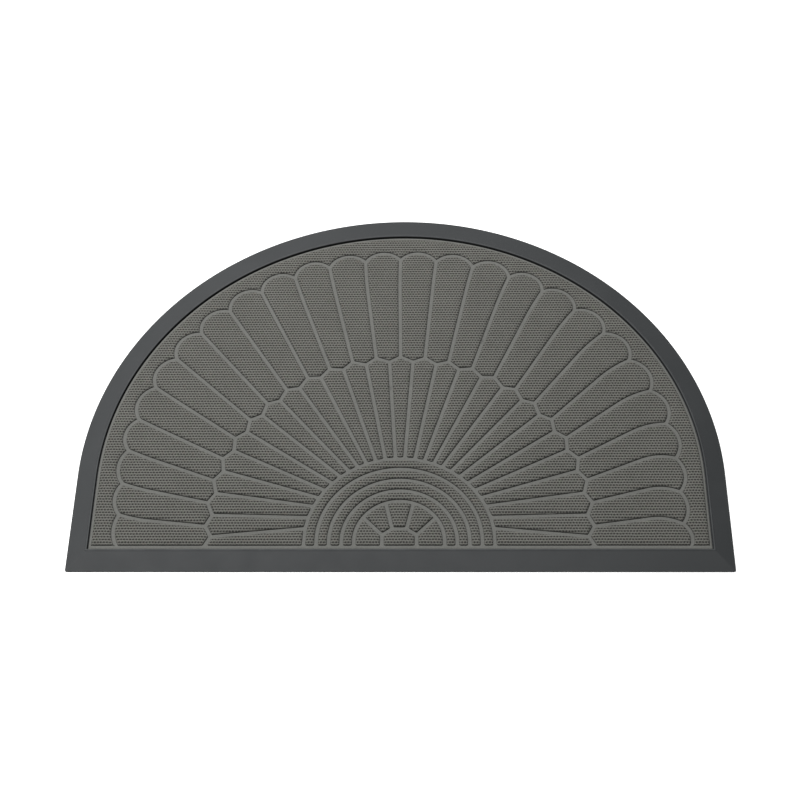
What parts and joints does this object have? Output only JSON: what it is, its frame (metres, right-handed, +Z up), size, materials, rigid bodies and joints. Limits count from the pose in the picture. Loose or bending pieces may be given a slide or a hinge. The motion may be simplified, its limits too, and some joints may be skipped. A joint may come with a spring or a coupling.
{
  "type": "entrance mat",
  "caption": "Half-round entrance mat: felt cloth embossed with a fan of petals and rays, set in a rubber tray with a bevelled border.",
  "frame": {"origin": "on the floor, under the middle of the mat's box", "axes": "+Z up; the straight edge faces -Y and the round edge faces +Y; +X along the straight edge"},
  "size_m": [0.9, 0.6, 0.0076],
  "materials": {
    "rubber": "moulded, matt",
    "felt": "pressed needle felt with a fine grid of dimples"
  },
  "bodies": {
    "root": {"rubber_tray": "rubber", "cloth_inlay": "felt"}
  },
  "joints": []
}
